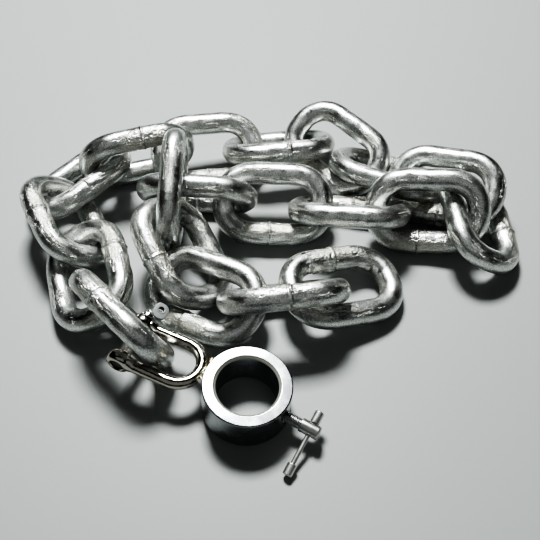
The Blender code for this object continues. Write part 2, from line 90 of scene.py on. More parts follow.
PIN_REACH = COLLAR_OUTSIDE / 2 + GAP + BOW_ROD / 2 + BOW_REACH
lever = COLLAR_OUTSIDE / 2 - COLLAR_EDGE + PIN_REACH
tipped = math.degrees(math.asin(PIN_HEIGHT / math.hypot(lever, BOW_HEIGHT)) - math.atan2(BOW_HEIGHT, lever))
collar_axes = turn(-BOW_HEADING) @ turn(BOW_HEADING, tipped)
low, high = (np.array(corner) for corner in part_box("collar"))
COLLAR_FOOT = (low + high) / 2 - COLLAR_HEIGHT / 2 * collar_axes[2]
print("collar stands at", COLLAR_FOOT.round(4), "tipped by", round(tipped, 2), "degrees")

# %% Camera
CAMERA_ELEVATION, CAMERA_DISTANCE = 50.4, 0.748
CAMERA_ASIDE, CAMERA_BEYOND = 0.0203, 0.1487
PICTURE_SIDE, FOCAL_PIXELS, SENSOR_WIDTH, NEAREST = 540, 780, 36, 0.01
target = np.array([COLLAR_FOOT[0] + CAMERA_ASIDE, COLLAR_FOOT[1] + CAMERA_BEYOND, 0])
camera = bpy.data.objects.new("camera", bpy.data.cameras.new("camera"))
camera.data.lens = FOCAL_PIXELS / PICTURE_SIDE * SENSOR_WIDTH
camera.data.sensor_width = SENSOR_WIDTH
camera.data.clip_start = NEAREST
tilt = math.radians(CAMERA_ELEVATION)
camera.location = target + CAMERA_DISTANCE * np.array([0, -math.cos(tilt), math.sin(tilt)])
camera.rotation_euler = (math.pi / 2 - tilt, 0, 0)
scene.collection.objects.link(camera)
scene.camera = camera
print("camera at", [round(value, 3) for value in camera.location])

# %% [markdown]
# ## Surfaces from numpy
#
# Every piece is a grid of points: rows along it and columns round it. One helper turns such a grid into a
# mesh, closing it round the columns and, for a ring, along the rows too. Open ends get a flat cap. It also
# stores values that follow the surface, such as the distance along a bar, at each face's corners, so that
# they don't run backwards across the seam.


# %% Grid to mesh
def surface(name, points, ring=False, along=None, sharp=40):
    """Makes an object of a grid of points (rows, columns, 3) whose columns close on themselves.

    ring closes the rows too. along holds values (rows + ring, columns + 1, 3) for the attribute "bar".
    """
    rows, columns = points.shape[:2]
    row, column = np.meshgrid(np.arange(rows - (not ring)), np.arange(columns), indexing="ij")
    next_row, next_column = (row + 1) % rows, (column + 1) % columns
    quads = np.stack([row * columns + column, row * columns + next_column,
                      next_row * columns + next_column, next_row * columns + column], -1).reshape(-1, 4)
    flat = points.reshape(-1, 3)
    middle = flat.mean(0)
    one, two, three, four = (flat[quads[:, k]] - middle for k in range(4))
    outward = np.einsum("ij,ij->i", one, np.cross(two, three) + np.cross(three, four)).sum() > 0
    caps = [] if ring else [np.arange(columns)[::-1], np.arange(columns) + (rows - 1) * columns]
    if not outward:
        quads, caps = quads[:, ::-1], [cap[::-1] for cap in caps]
    mesh = bpy.data.meshes.new(name)
    mesh.from_pydata(flat, [], quads.tolist() + [cap.tolist() for cap in caps])
    if along is not None:
        corners = np.stack([along[row + a, column + b] for a, b in ((0, 0), (0, 1), (1, 1), (1, 0))], 2)
        corners = corners.reshape(-1, 4, 3)
        corners = corners if outward else corners[:, ::-1]
        values = np.zeros((len(mesh.loops), 3))
        values[:corners.size // 3] = corners.reshape(-1, 3)
        mesh.attributes.new("bar", "FLOAT_VECTOR", "CORNER").data.foreach_set("vector", values.ravel())
    mesh.shade_smooth()
    mesh.set_sharp_from_angle(angle=math.radians(sharp))
    made = bpy.data.objects.new(name, mesh)
    scene.collection.objects.link(made)
    return made


def smoothstep(value, start, end):
    """0 before start, 1 after end, and the cubic 3t^2 - 2t^3 between them."""
    t = np.clip((value - start) / (end - start), 0, 1)
    return t * t * (3 - 2 * t)


def bell(value, width):
    """A bell curve e^-(value/width)^2, 1 at zero."""
    return np.exp(-((value / width) ** 2))


print("helpers ready")

# %% [markdown]
# ## The shape of a link
#
# A real link is a length of round bar, bent to a ring and butt-welded in the middle of one long side. The
# weld leaves a thin ridge round the bar, a slight swelling, and flats where the welder's jaws gripped it.
# Bending flattens the outside of each bend a little. So the surface is a round bar carried along a rounded
# rectangle, with a relief added to its radius.


# %% A link's centre line
LINE_STEPS, EASED_STEPS = 6000, 60
HALF_LONG = (EYE_LENGTH + WIRE) / 2 - BEND
HALF_SHORT = (EYE_WIDTH + WIRE) / 2 - BEND
LINK_LENGTH = 4 * (HALF_LONG + HALF_SHORT) + 2 * math.pi * BEND


def link_line(along, offset):
    """Points of a link's centre line at distances along it from its weld, their outward directions, and how
    bent it is there, 0 to 1.

    The line is a rectangle with rounded corners: its heading stays level on the straights and falls evenly
    by a quarter turn in each bend, is eased by a running mean with a bell of weights, and the points are the
    running sum of that heading's direction. The weld is in the middle of the side at +y, moved by offset
    towards +x.
    """
    quarter = BEND * math.pi / 2
    side = [quarter, 2 * HALF_SHORT, quarter]
    ends = np.concatenate([[0], np.cumsum([HALF_LONG, *side, 2 * HALF_LONG, *side, HALF_LONG])])
    headings = -math.pi / 2 * np.array([0, 0, 1, 1, 2, 2, 3, 3, 4, 4])
    fine = np.linspace(0, LINK_LENGTH, LINE_STEPS + 1)
    heading = np.interp(fine, ends, headings)
    ease = np.hanning(2 * EASED_STEPS + 1)
    last, first = heading[-EASED_STEPS - 1:-1], heading[1:EASED_STEPS + 1]
    padded = np.concatenate([last + 2 * math.pi, heading, first - 2 * math.pi])
    heading = np.convolve(padded, ease / ease.sum(), "valid")
    middle = (heading[1:] + heading[:-1]) / 2
    steps = np.column_stack([np.cos(middle), np.sin(middle)]) * fine[1]
    path = np.concatenate([[[0, 0]], np.cumsum(steps, 0)])
    path -= (path.max(0) + path.min(0)) / 2
    place = (along + offset) % LINK_LENGTH
    at = np.column_stack([np.interp(place, fine, path[:, axis]) for axis in (0, 1)])
    facing = np.interp(place, fine, heading)
    bent = np.interp(place, fine, -np.gradient(heading, fine[1])) * BEND
    return at, np.column_stack([-np.sin(facing), np.cos(facing)]), bent


at, out, bent = link_line(np.linspace(0, LINK_LENGTH, 400), 0)
print("link line spans", np.ptp(at, 0).round(4), "and is", round(LINK_LENGTH, 4), "m long")

# %% [markdown]
# The relief is a sum of simple bumps over the grid of places along and round the bar. Rolled bar is never
# quite true, so a few slow waves come first. Then come the swelling and the ridge of the weld with the
# groove beside it, the flats of the jaws on both sides of it, the flattened backs of the bends, and some
# random dents.

# %% The relief of the bar
SWELLING, SWELLING_REACH = 0.00035, 0.009
RIDGE, RIDGE_REACH = 0.00065, 0.0014
STEP, STEP_REACH = 0.00030, 0.014
GROOVE, GROOVE_AT, GROOVE_REACH = 0.00022, 0.0026, 0.0009
JAW_FLAT, JAW_FROM_WELD, JAW_REACH = 0.00045, 0.0125, 0.0085
WAVES, WAVE_HEIGHT, BEND_FLAT = 14, 0.000026, 0.0004
DENTS, DENTS_NEAR_WELD, NEAR_WELD = 60, 34, 0.014
DENT_DEPTHS, DENT_SIZES = (0.00004, 0.00016), (0.0007, 0.0020)


def bar_relief(along, around, bent, flats, rng):
    """How far the bar stands out from round, in metres, at distances along from the weld and angles around.

    Waves: sum of a cos(2 pi n along / length + m around + phase). Weld: bells across a ring whose place
    wobbles with the angle. Jaws: where the round lies outside a plane at a given depth it is cut down to it,
    r - (r - depth) / cos(angle from the flat). Dents: bells of the distance to random places.
    """
    relief = np.zeros((len(along), around.shape[1]))
    for _ in range(WAVES):
        turns, girth, phase = rng.integers(2, 18), rng.integers(0, 4), rng.uniform(0, 2 * math.pi)
        relief += WAVE_HEIGHT * np.cos(2 * math.pi * turns * along / LINK_LENGTH + girth * around + phase)
    wander = sum(rng.uniform(0.2, 1) * np.cos(k * around + rng.uniform(0, 6)) for k in range(1, 6))
    lumpy = 0.75 + 0.25 * np.cos(5 * around + rng.uniform(0, 6))
    lumpy = lumpy + 0.2 * np.cos(11 * around + rng.uniform(0, 6))
    seam = along + 0.0003 * wander
    relief += SWELLING * bell(along, SWELLING_REACH) + RIDGE * lumpy * bell(seam, RIDGE_REACH)
    relief += STEP * bell(along, STEP_REACH) * (smoothstep(seam, -0.0006, 0.0002) - 0.5)
    relief -= GROOVE * (1 + 0.4 * wander) * bell(seam - GROOVE_AT, GROOVE_REACH)
    for side in (-1, 1):
        for flat in flats:
            lean = np.clip(np.cos(around - flat), 0.3, 1)
            reach = np.exp(-(((along - side * JAW_FROM_WELD) / JAW_REACH) ** 4))
            relief -= reach * np.clip(WIRE / 2 - (WIRE / 2 - JAW_FLAT) / lean, 0, None)
    relief -= BEND_FLAT * bent[:, None] * (0.5 + 0.5 * np.cos(around)) ** 3
    for number in range(DENTS):
        marked = number < DENTS_NEAR_WELD
        where = rng.normal(0, NEAR_WELD) if marked else rng.uniform(-LINK_LENGTH / 2, LINK_LENGTH / 2)
        facing = rng.normal(flats[number % 2], 0.45) if marked else rng.uniform(0, 2 * math.pi)
        depth, size = rng.uniform(*DENT_DEPTHS), rng.uniform(*DENT_SIZES)
        apart = (along - where + LINK_LENGTH / 2) % LINK_LENGTH - LINK_LENGTH / 2
        turned = (around - facing + math.pi) % (2 * math.pi) - math.pi
        relief -= depth * bell(apart, size * rng.uniform(1, 2)) * bell(turned * WIRE / 2, size)
    return relief


print("the ridge stands", RIDGE * 1000, "mm proud")

# %% The melted lump
LUMP, LUMP_START, LUMP_FULL = 0.0011, -0.030, -0.020
FOLD, NICK, NICK_REACH, NICKS_AT = 0.0004, 0.0010, 0.0030, (0.046, 0.086)


def melted_lump(along, around):
    """The last link's weld squeezed out over the top and the inside: a smooth flap with a scalloped edge at
    the weld and a fold along its lower edge, less two nicks in the inside of the next bend."""
    scallop = 0.0007 * np.cos(5 * around) + 0.0004 * np.cos(9 * around + 1)
    flap = smoothstep(along, LUMP_START, LUMP_FULL) * (1 - smoothstep(along + scallop, -0.0012, 0.0008))
    lower = math.radians(196) + 0.10 * np.sin(along * 600) + 0.06 * np.sin(along * 1500)
    over = smoothstep(around, math.radians(70), math.radians(125))
    over = over * (1 - smoothstep(around, lower - 0.12, lower))
    fold = bell(around - lower + 0.16, 0.10) * smoothstep(along, -0.026, -0.018) * (along < 0)
    nicks = sum(bell(along - where, NICK_REACH) * bell(around - math.pi, 0.35) for where in NICKS_AT)
    return flap * over * LUMP + FOLD * fold - NICK * nicks


print("the lump stands", LUMP * 1000, "mm proud")

# %% [markdown]
# Each link's weld is on the side where the photograph shows it, or else where it is least seen. The list
# gives a rough direction from the link's middle to the welded bar, and how far the weld is from that bar's
# middle, in millimetres. Rows of points are crowded near the weld, where the relief is fine.
#
# Two attributes go with each link. "bar" holds the distance along it and its cross-section, so that patterns
# can follow the bent bar. "wear" holds where the jaws scuffed it, where its seam is, and how deep a point
# lies inside a bend.

# %% Where each weld is
WELDS = {
    "link_01": ((-0.3, -0.2, 1), 9), "link_02": ((1, 0, 0), -13), "link_03": ((-1, 0, 1), 3),
    "link_04": ((1, -1, 0), 4), "link_05": ((0, 0, 1), -7), "link_06": ((0, -1, -1), 3),
    "link_07": ((0, -1, 1), -8), "link_08": ((-1, -1, 0), 8), "link_09": ((0, 1, 0), 0),
    "link_10": ((0, -1, 0), 0), "link_11": ((1, 0, 0), 5), "link_12": ((0, -1, -1), 8),
    "link_13": ((0, 1, -1), 2), "link_14": ((0, -1, 0), 2), "link_15": ((0, 1, -1), -4),
    "link_16": ((0, 0, -1), 0), "link_17": ((-1, -1, 0), -3), "link_18": ((0, -1, 0), 6),
    "link_19": ((0, -1, 1), -3), "link_20": ((0, 1, 0), -1),
}


def own_axes(node, side):
    """Middle of a CAD link and its three axes as rows: along it, towards the welded bar, and up through it.

    The CAD link is the same on both sides of each of its planes, so its axes are the directions in which its
    corners spread most, less and least.
    """
    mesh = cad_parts[node].data
    corners = np.zeros(len(mesh.vertices) * 3)
    mesh.vertices.foreach_get("co", corners)
    corners = np.unique(corners.reshape(-1, 3).round(5), axis=0)
    middle = corners.mean(0)
    directions = np.linalg.eigh(np.cov((corners - middle).T))[1]
    up = directions[:, 0] * np.sign(directions[2, 0])
    welded = directions[:, 1] * np.sign(directions[:, 1] @ side)
    return middle, np.array([np.cross(welded, up), welded, up])


print("welds", len(WELDS))

# %% Build the links
LINK_ROWS, LINK_COLUMNS, CROWDING = 288, 64, 0.74
JAWS_LEAN, PATTERN_SHIFT = 0.5, 0.31
SCUFF_AT, SCUFF_REACH, SEAM_AT, SEAM_REACH = 0.009, 0.018, 0.0012, 0.0016
share = np.arange(LINK_ROWS + 1) / LINK_ROWS
along = LINK_LENGTH * (share - CROWDING * np.sin(2 * math.pi * share) / (2 * math.pi))
around = np.linspace(0, 2 * math.pi, LINK_COLUMNS + 1)[None]
links = []
for number, name in enumerate(LINKS, 1):
    rng = np.random.default_rng(number)
    side, offset = WELDS[name]
    middle, axes = own_axes(name, side)
    at, out, bent = link_line(along, offset / 1000)
    signed = np.where(share < 0.5, along, along - LINK_LENGTH)[:, None]
    top = math.pi / 2 + rng.uniform(-JAWS_LEAN, JAWS_LEAN)
    relief = bar_relief(signed, around, bent, (top, top + math.pi), rng)
    if name == "link_20":
        relief += melted_lump(signed, around)
    radius = WIRE / 2 + relief
    spokes = np.cos(around)[..., None] * np.column_stack([out, 0 * bent])[:, None]
    spokes[..., 2] += np.sin(around)
    local = np.column_stack([at, 0 * bent])[:, None] + radius[..., None] * spokes
    shifted = along[:, None] + PATTERN_SHIFT * number + 0 * radius
    bar = np.stack([shifted, radius * np.cos(around), radius * np.sin(around)], -1)
    link = surface(name + "_forged", (local @ axes + middle)[:-1, :-1], ring=True, along=bar)
    strip = np.cos(around - top) ** 4 + 0.4 * np.cos(around - top - 1.3) ** 8
    scuff = bell(np.abs(signed) - SCUFF_AT, SCUFF_REACH) * strip
    seam = bell(signed - SEAM_AT, SEAM_REACH) + 0 * radius
    inside = bent[:, None] * smoothstep(-np.cos(around), 0.2, 0.9)
    wear = np.stack([scuff, seam, inside], -1)[:-1, :-1].reshape(-1, 3)
    link.data.attributes.new("wear", "FLOAT_VECTOR", "POINT").data.foreach_set("vector", wear.ravel())
    links.append(link)
print("links", len(links), "with", sum(len(link.data.polygons) for link in links), "faces")

# %% [markdown]
# ## The shackle
#
# The bow is a bent round rod with a forged eye on each end. The rod flares as it runs into its eye, as a
# forging does, and the eye is a disc with rounded edges. The three shapes are joined, and the pin's bore
# is cut through, with Boolean modifiers that are applied at once, so that one clean skin is left. A turned
# profile that would meet its axis stops at a small core radius, where a flat cap closes it.


# %% Turned shapes
CORE = 0.0005


def turned(name, profile, axes, origin, sides=96, rounding=0, sharp=40, ring=False):
    """A profile of (radius, height) points carried round the third of its axes, as radius times the cosine
    and sine of the angle, with its corners first rounded by rounding."""
    profile = soften(np.array(profile, float), rounding, ring) if rounding else np.array(profile, float)
    angle = np.arange(sides) / sides * 2 * math.pi
    radius, height = profile[:, 0, None], profile[:, 1, None]
    points = np.stack([radius * np.cos(angle), radius * np.sin(angle), height + 0 * angle], -1)
    return surface(name, points @ axes + origin, ring=ring, sharp=sharp)


def soften(profile, rounding, ring):
    """Replaces each corner of a profile by five points on the curve (1-t)^2 a + 2t(1-t) corner + t^2 b, where
    a and b lie rounding away along its two sides, or nearer where a side is short."""
    if ring:
        before, after = np.roll(profile, 1, 0), np.roll(profile, -1, 0)
        corners = profile
    else:
        before, corners, after = profile[:-2], profile[1:-1], profile[2:]
    share = np.linspace(0, 1, 5)[None, :, None]
    ends = []
    for other in (before, after):
        side = other - corners
        length = np.linalg.norm(side, axis=1)[:, None]
        ends.append((corners + side * np.minimum(rounding / length, 0.45))[:, None])
    curve = (1 - share) ** 2 * ends[0] + 2 * share * (1 - share) * corners[:, None] + share**2 * ends[1]
    curve = curve.reshape(-1, 2)
    return curve if ring else np.vstack([profile[:1], curve, profile[-1:]])


def countersunk(radius, face, lip, inside, outside, reach):
    """End of a cutter's profile, for a hole that comes out of a face with a wider mouth: its radius grows by
    lip from a place inside the face to one outside it, given as distances from the face."""
    return [(radius, face - inside), (radius + lip, face + outside), (radius + lip, reach), (CORE, reach)]


def both_ends(half):
    """The profile of a cutter that ends at minus its heights as it does at them."""
    return [(wide, -high) for wide, high in half[::-1]] + half


print("turned shapes stop", CORE * 1000, "mm from their axis")


# %% Joining and cutting
def applied(target):
    """Bakes the object's modifiers into its mesh."""
    graph = bpy.context.evaluated_depsgraph_get()
    graph.update()
    mesh = bpy.data.meshes.new_from_object(target.evaluated_get(graph))
    target.modifiers.clear()
    target.data = mesh
    return mesh


def join(target, tools, operation="UNION", sharp=40):
    """Joins tools to target, or cuts them out of it, and removes them."""
    for tool in tools:
        modifier = target.modifiers.new("join", "BOOLEAN")
        modifier.operation, modifier.solver, modifier.object = operation, "EXACT", tool
    mesh = applied(target)
    for tool in tools:
        bpy.data.objects.remove(tool)
    mesh.shade_smooth()
    mesh.set_sharp_from_angle(angle=math.radians(sharp))


def keep_flats_flat(target):
    """Weights the shading normals by face area, so that the flats beside a rounded edge reflect as flats."""
    modifier = target.modifiers.new("flats", "WEIGHTED_NORMAL")
    modifier.weight, modifier.keep_sharp = 100, True
    applied(target)


print("joining ready")

# %% The bow
ROD_ROWS, ROD_COLUMNS = 150, 56
EYE_ENTRY, EYE_ROUNDING = 0.0072, 0.0050
FLARE_FULL, FLARE_START, FLARE_WIDE, FLARE_TALL = 0.0085, 0.0145, 0.0002, 0.0026
BORE_LIP, LIP_INSIDE, LIP_OUTSIDE = 0.0012, 0.0007, 0.0002
half_jaw = (BOW_JAW + SHACKLE_EYE_THICKNESS) / 2
shackle_axes = turn(BOW_HEADING) @ collar_axes
pin_middle = COLLAR_FOOT + BOW_HEIGHT * shackle_axes[2] + PIN_REACH * shackle_axes[0]
pin_axes = np.array([shackle_axes[2], shackle_axes[0], shackle_axes[1]])
print("pin at", pin_middle.round(4))


def bow_rod(place):
    """The rod's middle line, at distances along it from the end of the near leg: a leg, half a circle round
    the crown and the other leg; with its outward directions."""
    leg = BOW_REACH - half_jaw
    arc = half_jaw * math.pi
    angle = np.clip((place - leg) / half_jaw, 0, math.pi)
    before, past = np.clip(leg - place, 0, None), np.clip(place - leg - arc, 0, None)
    x = -leg - half_jaw * np.sin(angle) + before + past
    return np.column_stack([x, half_jaw * np.cos(angle)]), np.column_stack([-np.sin(angle), np.cos(angle)])


rod_length = 2 * (BOW_REACH - half_jaw) + half_jaw * math.pi
place = np.linspace(EYE_ENTRY, rod_length - EYE_ENTRY, ROD_ROWS)
at, out = bow_rod(place)
from_eye = np.minimum(place, rod_length - place)
flare = 1 - smoothstep(from_eye, FLARE_FULL, FLARE_START)
angle = np.linspace(0, 2 * math.pi, ROD_COLUMNS + 1)[None, :-1]
wide = (BOW_ROD / 2 + FLARE_WIDE * flare)[:, None] * np.cos(angle)
tall = (BOW_ROD / 2 + FLARE_TALL * flare)[:, None] * np.sin(angle)
at, out = np.column_stack([at, 0 * place]), np.column_stack([out, 0 * place])
rod = at[:, None] + wide[..., None] * out[:, None]
rod[..., 2] += tall
bow = surface("shackle_bow_forged", rod @ shackle_axes + pin_middle)
half = SHACKLE_EYE_THICKNESS / 2
eye_profile = [(CORE, -half), (SHACKLE_EYE / 2, -half), (SHACKLE_EYE / 2, half), (CORE, half)]
eye_middles = [pin_middle + side * half_jaw * shackle_axes[1] for side in (-1, 1)]
join(bow, [turned("eye", eye_profile, pin_axes, middle, rounding=EYE_ROUNDING) for middle in eye_middles])
face = half_jaw + half
mouth = countersunk(PIN / 2 + GAP, face, BORE_LIP, LIP_INSIDE, LIP_OUTSIDE, face + half)
join(bow, [turned("bore", both_ends(mouth), pin_axes, pin_middle)], "DIFFERENCE")
keep_flats_flat(bow)
print("bow", len(bow.data.polygons), "faces")

# %% [markdown]
# The pin's plain end lies a little inside the near eye and has a shallow dish. Past the far eye come a
# flange with a rounded rim, a waisted neck and a flat tab with a hole, which stands off the neck's line and
# farther out, as in the photograph. The tab is a ring in its own right: its outline and its hole are joined
# by two flat faces with rounded edges, so one closed grid makes it.

# %% The pin
PIN_RECESS, PIN_ROUNDING, NECK_WAIST = 0.0022, 0.0006, 0.0008
TAB_SIDES, TAB_ROOT, TAB_BURR, TAB_EDGE, TAB_STEP = 64, 0.0024, 0.0002, 0.0006, 0.0004
TAB_ASIDE, TAB_FARTHER, TAB_UPRIGHT = 0.006, 0.002, 3
# The first two reaches are balls of near-black painted shade, in the pin's end dish and in the tab's hole;
# the third is the satin tab's.
PIN_END_PAINTED_SHADE, TAB_HOLE_PAINTED_SHADE, TAB_SATIN = 0.0060, 0.0037, 0.0110
flange = face + GAP
neck = flange + PIN_FLANGE_THICKNESS
neck_middle, neck_end = neck + PIN_NECK_LENGTH / 2, neck + PIN_NECK_LENGTH
plain_end = [(CORE, face - PIN_RECESS), (PIN / 2 - 0.0012, face - 0.0021),
             (PIN / 2 - 0.0007, face - 0.0012), (PIN / 2, face - 0.0014)]
flange_rim = [(PIN / 2, -flange), (PIN_FLANGE / 2, -flange), (PIN_FLANGE / 2, -neck)]
waisted_neck = [(PIN_NECK / 2, -neck - 0.0003), (PIN_NECK / 2 - NECK_WAIST, -neck_middle),
                (PIN_NECK / 2, -neck_end + 0.0004), (PIN_NECK / 2 - NECK_WAIST, -neck_end - 0.0006),
                (CORE, -neck_end - 0.0008)]
pin_profile = plain_end + flange_rim + waisted_neck
pin = turned("shackle_pin_turned", pin_profile, pin_axes, pin_middle, rounding=PIN_ROUNDING)


def drilled_tab(count):
    """Grid of a flat tab round its hole. The angle goes round the hole; the profile goes from the hole's
    middle over one face, round the rim and back over the other face. The rim's distance is that of a rounded
    square, (|cos|^3 + |sin|^3)^(-1/3), eased towards a circle's and stretched towards the neck.

    Points of the face are (steps of an edge out from the hole, height), and points of the rim are (distance
    in from the rim, height).
    """
    angle = np.arange(count) / count * 2 * math.pi
    squarish = (np.abs(np.cos(angle)) ** 3 + np.abs(np.sin(angle)) ** 3) ** (-1 / 3)
    outline = TAB_WIDTH / 2 * (0.44 + 0.50 * squarish) + TAB_ROOT * smoothstep(-np.sin(angle), 0.3, 1)
    hole, half = TAB_HOLE / 2 - TAB_BURR, TAB_THICKNESS / 2
    over_face = [(0, TAB_EDGE - half), (0, half - TAB_EDGE), (0.25, half - 0.25 * TAB_EDGE), (1, half),
                 (2.4, half), (2.9, half - TAB_STEP)]
    round_rim = [(0.0016, half - TAB_STEP), (0.0004, half - 0.0005), (0, half - 0.0011)]
    round_rim += [(inwards, -height) for inwards, height in round_rim[::-1]]
    back = [(step, -height) for step, height in over_face[:1:-1]]
    ring = [(hole + TAB_EDGE * step + 0 * angle, height) for step, height in over_face]
    ring += [(outline - inwards, height) for inwards, height in round_rim]
    ring += [(hole + TAB_EDGE * step + 0 * angle, height) for step, height in back]
    radius = np.array([distance for distance, _ in ring])
    height = np.array([height for _, height in ring])[:, None]
    return np.stack([radius * np.cos(angle), radius * np.sin(angle), height + 0 * angle], -1)


lean = math.radians(TAB_LEAN - TAB_UPRIGHT)
flat_way = math.cos(lean) * pin_axes[0] - math.sin(lean) * pin_axes[1]
side_way = -math.cos(lean) * pin_axes[1] - math.sin(lean) * pin_axes[0]
tab_reach = neck_middle + TAB_WIDTH / 2 + TAB_FARTHER
tab_middle = pin_middle - tab_reach * pin_axes[2] - TAB_ASIDE * pin_axes[1]
tab_axes = np.array([side_way, -pin_axes[2], flat_way])
tab = surface("tab", drilled_tab(TAB_SIDES) @ tab_axes + tab_middle, ring=True)
join(pin, [tab])
keep_flats_flat(pin)
print("pin", len(pin.data.polygons), "faces")

# %% [markdown]
# The weld is one bead laid in the groove between the bow's crown and the collar's wall, in short steps that
# leave ripples, with three bigger blobs where the arc dwelt. It is a bar along an arc whose radius swells at
# each blob and ripples in between. Its two ends narrow to a point.

# %% The weld
WELD_ROWS, WELD_COLUMNS, WELD_START, WELD_END = 180, 40, -21, 17
THIN_BEAD, FULL_BLOB, BLOB_SPREAD, RIPPLE = BEAD * 0.62, 0.78, 4.2, 0.05
BEAD_OUT, BLOB_OUT, BEAD_SUNK, BEAD_WEAVE, BEAD_SQUASH = 0.0004, 0.0009, 0.0006, 0.0003, 0.85
sweep = np.linspace(WELD_START, WELD_END, WELD_ROWS)
blobs = sum(bell(sweep - blob, BLOB_SPREAD) for blob in BLOB_ANGLES)
ends_in = smoothstep(sweep, WELD_START - 0.5, WELD_START + 2)
ends_in = ends_in * (1 - smoothstep(sweep, WELD_END - 2, WELD_END + 0.5))
thick = (THIN_BEAD + (BLOB - THIN_BEAD) * FULL_BLOB * np.clip(blobs, 0, 1.05)) * np.sqrt(ends_in + 0.01)
heading = np.radians(BOW_HEADING + sweep)
bead_out = COLLAR_OUTSIDE / 2 + BEAD_OUT + BLOB_OUT * blobs
bead_height = BOW_HEIGHT + BOW_ROD / 2 - BEAD_SUNK + BEAD_WEAVE * np.cos(sweep * 1.3)
outward = np.column_stack([np.cos(heading), np.sin(heading)])
angle = np.arange(WELD_COLUMNS)[None] / WELD_COLUMNS * 2 * math.pi
ripple = 1 + RIPPLE * np.cos(sweep[:, None] * 4.6 + 1.6 * np.cos(angle))
ripple = ripple + RIPPLE * np.cos(3 * angle + sweep[:, None] * 0.9)
radius = thick[:, None] * ripple
bead = np.zeros((WELD_ROWS, WELD_COLUMNS, 3))
bead[..., :2] = outward[:, None] * (bead_out[:, None] + radius * np.cos(angle))[..., None]
bead[..., 2] = bead_height[:, None] + BEAD_SQUASH * radius * np.sin(angle)
weld = surface("bow_weld_bead", bead @ collar_axes + COLLAR_FOOT)
print("weld", len(weld.data.polygons), "faces")

# %% [markdown]
# ## The collar, its screw and the tommy bar
#
# These are turned on a lathe, so each is a profile carried round its axis, with small rounded edges that
# catch the light. The screw's thread is a true helix: the radius depends on the distance along the screw
# less the share of a turn, times the pitch. The tommy bar leans until its lower cap rests on the floor.

# %% The collar
COLLAR_SIDES, COLLAR_ROUNDING = 240, 0.0005
HOLE_SIDES, HOLE_EASE, HOLE_FROM, HOLE_BEYOND = 48, 0.0001, 0.01, 0.01
HOLE_LIP, HOLE_INSIDE, HOLE_OUTSIDE = 0.0011, 0.0010, 0.0004
outside, bore = COLLAR_OUTSIDE / 2, COLLAR_BORE / 2
collar_profile = [(bore, BORE_CHAMFER), (bore + BORE_CHAMFER, 0),
                  (outside - COLLAR_EDGE, 0), (outside, COLLAR_EDGE),
                  (outside, COLLAR_HEIGHT - COLLAR_EDGE), (outside - COLLAR_EDGE, COLLAR_HEIGHT),
                  (bore + BORE_CHAMFER, COLLAR_HEIGHT), (bore, COLLAR_HEIGHT - BORE_CHAMFER)]
collar = turned("collar_turned", collar_profile, collar_axes, COLLAR_FOOT, sides=COLLAR_SIDES,
                rounding=COLLAR_ROUNDING, ring=True, sharp=60)
screw_axes = turn(SCREW_HEADING) @ collar_axes
screw_round = np.array([screw_axes[1], screw_axes[2], screw_axes[0]])
screw_origin = COLLAR_FOOT + SCREW_HEIGHT * collar_axes[2]
narrow = SCREW_THREAD / 2 + HOLE_EASE
mouth = countersunk(narrow, outside, HOLE_LIP, HOLE_INSIDE, HOLE_OUTSIDE, outside + HOLE_BEYOND)
hole_profile = [(CORE, HOLE_FROM), (narrow, HOLE_FROM), *mouth]
hole = turned("hole", hole_profile, screw_round, screw_origin, sides=HOLE_SIDES)
join(collar, [hole], "DIFFERENCE", sharp=32)
keep_flats_flat(collar)
print("collar", len(collar.data.polygons), "faces")

# %% The clamp screw
THREAD_ROWS, SCREW_COLUMNS, THREAD_DEPTH = 200, 48, 0.00085
TIP_ROUNDING, HEAD_ROUNDING, HEAD_CHAMFER = 0.0006, 0.0004, 0.0010
THREAD_FLANK, THREAD_FLAT, RUN_IN, RUN_OUT, THREAD_STOP = 2.5, 0.12, 0.0012, 0.0013, 0.0004
CROSS_SIDES, CROSS_LIP, CROSS_INSIDE, CROSS_OUTSIDE, CROSS_REACH = 32, 0.0016, 0.0010, 0.0006, 0.01
tip, shoulder = bore + TIP_SETBACK, outside + THREAD_OUT
screw_end = shoulder + SCREW_HEAD_LENGTH
out = np.linspace(tip, shoulder, THREAD_ROWS)
angle = np.arange(SCREW_COLUMNS)[None] / SCREW_COLUMNS * 2 * math.pi
phase = (out[:, None] / THREAD_PITCH - angle / (2 * math.pi)) % 1
tooth = np.clip(np.abs(phase - 0.5) * THREAD_FLANK - THREAD_FLAT, 0, 1)
fade = smoothstep(out, tip, tip + RUN_IN) * (1 - smoothstep(out, shoulder - RUN_OUT, shoulder - THREAD_STOP))
thread = SCREW_THREAD / 2 - THREAD_DEPTH * (1 - tooth * fade[:, None])
thread = thread - TIP_ROUNDING * bell(out - tip, TIP_ROUNDING)[:, None]
head = SCREW_HEAD / 2
head_profile = [(0.0044, shoulder), (head - 0.0005, shoulder + 0.0001), (head, shoulder + 0.0008),
                (head, screw_end - HEAD_CHAMFER), (head - HEAD_CHAMFER, screw_end), (CORE, screw_end)]
head_profile = soften(np.array(head_profile), HEAD_ROUNDING, False)
radius = np.vstack([thread, head_profile[1:, :1] + 0 * angle])
out = np.concatenate([out, head_profile[1:, 1]])
points = np.stack([radius * np.cos(angle), radius * np.sin(angle), out[:, None] + 0 * angle], -1)
screw = surface("clamp_screw_threaded", points @ screw_round + screw_origin, sharp=50)
tommy_origin = screw_origin + (screw_end - TOMMY_FROM_HEAD_END) * screw_axes[0]
below = TOMMY_LENGTH - CAP_LENGTH - GAP - head
slope = math.asin((tommy_origin[2] - GAP) / math.hypot(below, CAP / 2)) - math.atan2(CAP / 2, below)
aside, up = screw_axes[1][2], screw_axes[2][2]
from_up = math.pi / 2 + math.asin(math.sin(slope) / math.hypot(aside, up)) - math.atan2(aside, up)
down = math.cos(from_up) * screw_axes[2] - math.sin(from_up) * screw_axes[1]
